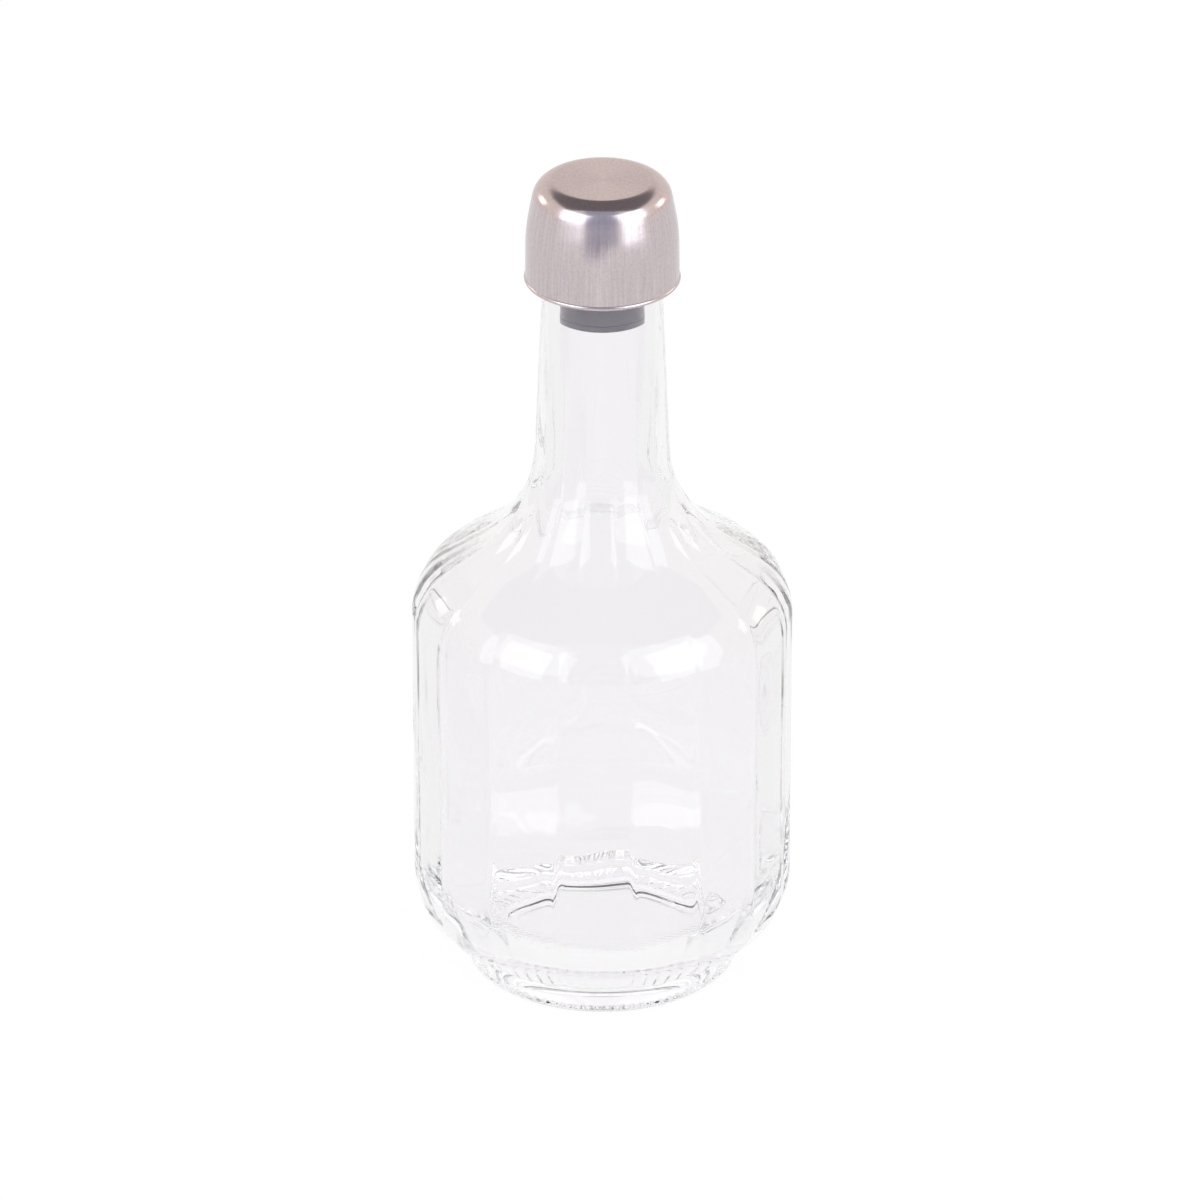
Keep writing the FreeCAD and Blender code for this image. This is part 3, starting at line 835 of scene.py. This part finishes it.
@dataclass
class Studio:
    """White sweep, pale surroundings with a dark opening overhead, two softboxes and the camera.

    Lengths are in metres and angles in degrees. Levels are relative to white paper, which is 1.
    """

    floor_size: float = 6.0
    floor_colour: str = "F4F3F3"
    floor_glow: float = 0.88
    camera_level: float = 1.06
    middle_level: float = 1.03
    side_level: float = 0.965
    fall_off: tuple[float, float] = (0.15, 0.4)
    sweep_middle: tuple[float, float, float] = (0.0, -0.1, 0.08)
    light_colour: str = "F2F1F1"
    light_level: float = 0.6
    wall_colour: str = "FAF0E9"
    wall_radius: float = 1.3
    wall_span: tuple[float, float] = (-20.0, 200.0)
    wall_columns: int = 45
    wall_foot: float = 0.02
    wall_height: float = 1.0
    wall_rise: float = 0.5
    dark_colour: str = "7C7678"
    dark_half_width: float = 2.0
    dark_edges: tuple[tuple[float, float], ...] = ((-0.5, 1.6), (0.1, 1.6), (2.0, 0.95))
    room_colour: str = "B4B6C8"
    room_foot: tuple[float, float, float, float] = (-0.85, 0.95, -2.1, -0.4)
    room_head: tuple[float, float, float, float] = (-0.5, 0.5, -0.5, 1.61)
    glint_colour: str = "FFF4EA"
    glint_level: float = 3.0
    glint_azimuths: tuple[float, float] = (-118.0, 116.0)
    glint_half_width: float = 9.0
    glint_elevation: tuple[float, float] = (7.0, 21.0)
    glint_distance: float = 1.2
    glint_middle: float = 0.17
    left_azimuth: tuple[float, float] = (-68.0, -26.0)
    left_elevation: tuple[float, float] = (0.0, 48.0)
    right_azimuth: tuple[float, float] = (32.0, 76.0)
    right_elevation: tuple[float, float] = (-3.0, 50.0)
    lamp_colour: str = "F4F8FF"
    lamp_level: float = 1.6
    lamp_distance: float = 1.2
    lamp_aim: float = 0.1
    camera_azimuth: float = 2.4
    camera_elevation: float = 27.5
    camera_distance: float = 1.89
    camera_aim: float = 0.0838
    camera_offset: float = -0.00048
    lens: float = 270.0
    sensor: float = 36.0
    clip_start: float = 0.01
    light_bounces: int = 32

    def background_share(self, tree: bpy.types.NodeTree) -> bpy.types.NodeSocket:
        """1 for rays from the camera, off a mirror or through glass, and 0 for the rest.

        Args:
            tree: the node tree.

        Returns:
            The share as a socket.
        """
        path = add_node(tree, "ShaderNodeLightPath").outputs
        seen = add_node(tree, "ShaderNodeMath",
                        {0: path["Is Camera Ray"], 1: path["Is Glossy Ray"]}, operation="MAXIMUM")
        return add_node(tree, "ShaderNodeMath",
                        {0: seen.outputs[0], 1: path["Is Transmission Ray"]},
                        operation="MAXIMUM").outputs[0]

    def seen_level(self, tree: bpy.types.NodeTree,
                   place: bpy.types.NodeSocket) -> bpy.types.NodeSocket:
        """How bright the background is: full to the camera, and falling off to the sides beyond.

        Mirrored and bent rays meet a sweep that is brightest straight behind the cruet. Its
        level drops as the sideways share of a place's distance from its middle grows.

        Args:
            tree: the node tree.
            place: where on the sweep, or which way out of it, the ray goes.

        Returns:
            The level as a socket.
        """
        way = add_node(tree, "ShaderNodeVectorMath", {0: place}, operation="NORMALIZE")
        parts = add_node(tree, "ShaderNodeSeparateXYZ", {0: way.outputs[0]})
        aside = add_node(tree, "ShaderNodeMath", {0: parts.outputs["X"]}, operation="ABSOLUTE")
        near, far = self.fall_off
        beyond = add_node(tree, "ShaderNodeMapRange",
                          {"Value": aside.outputs[0], "From Min": near, "From Max": far,
                           "To Min": self.middle_level, "To Max": self.side_level},
                          interpolation_type="SMOOTHSTEP")
        path = add_node(tree, "ShaderNodeLightPath")
        return add_node(tree, "ShaderNodeMix",
                        {"Factor": path.outputs["Is Camera Ray"], "A": beyond.outputs[0],
                         "B": self.camera_level}).outputs[0]

    def card(self, name: str, points: Points, faces: list[tuple[int, ...]], colour: str,
             level: float = 1.0) -> None:
        """A glowing stage card that only mirrored rays meet.

        Args:
            name: the card's name.
            points: its corners in metres.
            faces: its faces as corner numbers.
            colour: the sRGB colour that it shows.
            level: how bright it is, where white paper is 1.
        """
        mesh = bpy.data.meshes.new(name)
        mesh.from_pydata(points.tolist(), [], faces)
        board = bpy.data.objects.new(name, mesh)
        bpy.context.scene.collection.objects.link(board)
        material, tree = new_material(name + "_glow")
        glow = add_node(tree, "ShaderNodeEmission", {"Color": linear(colour), "Strength": level})
        close_tree(tree, glow.outputs[0])
        mesh.materials.append(material)
        for kind in ("camera", "diffuse", "glossy", "transmission", "volume_scatter", "shadow"):
            setattr(board, "visible_" + kind, kind == "glossy")

    def build_floor(self) -> None:
        """A pale plane: white to the camera apart from the cruet's shadow, and clear from below."""
        half = self.floor_size / 2
        corners = [(-half, -half, 0), (half, -half, 0), (half, half, 0), (-half, half, 0)]
        mesh = bpy.data.meshes.new("floor")
        mesh.from_pydata(corners, [], [(0, 1, 2, 3)])
        floor = bpy.data.objects.new("floor", mesh)
        bpy.context.scene.collection.objects.link(floor)
        material, tree = new_material("white_sweep")
        share = add_node(tree, "ShaderNodeMath",
                         {0: self.background_share(tree), 1: self.floor_glow},
                         operation="MULTIPLY")
        paper = add_node(tree, "ShaderNodeBsdfDiffuse", {"Color": linear(self.floor_colour)})
        place = add_node(tree, "ShaderNodeTexCoord").outputs["Object"]
        way = add_node(tree, "ShaderNodeVectorMath", {0: place, 1: self.sweep_middle},
                       operation="SUBTRACT").outputs[0]
        glow = add_node(tree, "ShaderNodeEmission", {"Strength": self.seen_level(tree, way)})
        lit = add_node(tree, "ShaderNodeMixShader",
                       {0: share.outputs[0], 1: paper.outputs[0], 2: glow.outputs[0]})
        side = add_node(tree, "ShaderNodeNewGeometry")
        clear = add_node(tree, "ShaderNodeBsdfTransparent")
        both = add_node(tree, "ShaderNodeMixShader",
                        {0: side.outputs["Backfacing"], 1: lit.outputs[0], 2: clear.outputs[0]})
        close_tree(tree, both.outputs[0])
        mesh.materials.append(material)

    def build_world(self) -> None:
        """An even light all round, which shows as a white sweep wherever it is looked at."""
        world = bpy.data.worlds.new("studio")
        bpy.context.scene.world = world
        world.use_nodes = True
        tree = world.node_tree
        tree.nodes.clear()
        light = add_node(tree, "ShaderNodeBackground",
                         {"Color": linear(self.light_colour), "Strength": self.light_level})
        way = add_node(tree, "ShaderNodeTexCoord").outputs["Generated"]
        white = add_node(tree, "ShaderNodeBackground",
                         {"Color": linear("FFFFFF"), "Strength": self.seen_level(tree, way)})
        mixed = add_node(tree, "ShaderNodeMixShader",
                         {0: self.background_share(tree), 1: light.outputs[0], 2: white.outputs[0]})
        add_node(tree, "ShaderNodeOutputWorld", {"Surface": mixed.outputs[0]})

    def build_wall(self) -> None:
        """A warm wall round the back, for the metal: an arc that rises towards its two ends."""
        turn = np.radians(np.linspace(*self.wall_span, self.wall_columns))
        ring = np.column_stack([np.cos(turn), np.sin(turn)]) * self.wall_radius
        low = np.full(len(turn), self.wall_foot)
        high = self.wall_height + self.wall_rise * np.cos(turn) ** 2
        points = np.vstack([np.column_stack([ring, low]), np.column_stack([ring, high])])
        count = len(turn)
        faces = [(i, i + 1, count + i + 1, count + i) for i in range(count - 1)]
        self.card("warm_wall", points, faces, self.wall_colour)

    def build_ceiling(self) -> None:
        """A dark opening overhead, which bends down towards the back."""
        points = np.array([(side * self.dark_half_width, *edge)
                           for edge in self.dark_edges for side in (-1, 1)])
        self.card("dark_ceiling", points, [(0, 1, 3, 2), (2, 3, 5, 4)], self.dark_colour)

    def build_room(self) -> None:
        """The dim room behind the camera: a leaning card that narrows towards the ceiling."""
        foot_left, foot_right, *foot = self.room_foot
        head_left, head_right, *head = self.room_head
        points = np.array([(foot_left, *foot), (foot_right, *foot),
                           (head_right, *head), (head_left, *head)])
        self.card("dim_room", points, [(0, 1, 2, 3)], self.room_colour)

    def build_glints(self) -> None:
        """Two small warm windows behind the cruet, one on each side."""
        low, high = self.glint_elevation
        half = self.glint_half_width
        for name, middle in zip(("left_glint", "right_glint"), self.glint_azimuths):
            corners = [from_above(middle + turn, lift, self.glint_distance)
                       + Vector((0, 0, self.glint_middle))
                       for turn, lift in ((-half, low), (half, low), (half, high), (-half, high))]
            self.card(name, np.array(corners), [(0, 1, 2, 3)], self.glint_colour, self.glint_level)

    def lamp(self, name: str, azimuth: tuple[float, float], elevation: tuple[float, float]) -> None:
        """A rectangular softbox that faces the bottle's neck.

        Its width and height are twice the distance times the tangent of half the angle that it
        covers, and its power is pi times its area times its level, where white paper is 1.

        Args:
            name: the lamp's name.
            azimuth: where its sides are, in degrees.
            elevation: where its lower and upper edges are, in degrees.
        """
        width, height = (2 * self.lamp_distance * math.tan(math.radians((high - low) / 2))
                         for low, high in (azimuth, elevation))
        light = bpy.data.lights.new(name, "AREA")
        light.shape = "RECTANGLE"
        light.size, light.size_y = width, height
        light.energy = math.pi * width * height * self.lamp_level
        light.color = linear(self.lamp_colour)[:3]
        lamp = bpy.data.objects.new(name, light)
        bpy.context.scene.collection.objects.link(lamp)
        aim = Vector((0, 0, self.lamp_aim))
        lamp.location = aim + from_above(sum(azimuth) / 2, sum(elevation) / 2, self.lamp_distance)
        lamp.rotation_mode = "QUATERNION"
        lamp.rotation_quaternion = (aim - lamp.location).to_track_quat("-Z", "Y")

    def build_camera(self) -> None:
        """The camera, looking a little down on the cruet through a long lens."""
        camera = bpy.data.objects.new("camera", bpy.data.cameras.new("camera"))
        bpy.context.scene.collection.objects.link(camera)
        back = from_above(self.camera_azimuth, self.camera_elevation, 1.0)
        turn = math.radians(self.camera_azimuth)
        right = Vector((math.cos(turn), math.sin(turn), 0))
        aim = Vector((0, 0, self.camera_aim)) + right * self.camera_offset
        camera.location = aim + back * self.camera_distance
        camera.rotation_mode = "QUATERNION"
        camera.rotation_quaternion = (-back).to_track_quat("-Z", "Y")
        camera.data.lens, camera.data.sensor_width = self.lens, self.sensor
        camera.data.clip_start = self.clip_start
        bpy.context.scene.camera = camera

    def build(self) -> None:
        """Sets the stage round the cruet."""
        self.build_floor()
        self.build_world()
        self.build_wall()
        self.build_ceiling()
        self.build_room()
        self.build_glints()
        self.lamp("left_softbox", self.left_azimuth, self.left_elevation)
        self.lamp("right_softbox", self.right_azimuth, self.right_elevation)
        self.build_camera()
        scene = bpy.context.scene
        scene.view_settings.view_transform = "Standard"
        scene.cycles.max_bounces = self.light_bounces
        scene.cycles.transmission_bounces = self.light_bounces
        scene.cycles.glossy_bounces = self.light_bounces


def main() -> None:
    """Builds the three pieces and the studio."""
    for maker in (Bottle(), Stopper(), Cap()):
        piece = maker.build()
        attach(piece, BODY)
        LOG.info("%s: %d faces", piece.name, len(piece.data.polygons))
    Studio().build()


if __name__ == "__main__":
    logging.basicConfig(level=logging.INFO, format="%(message)s")
    main()
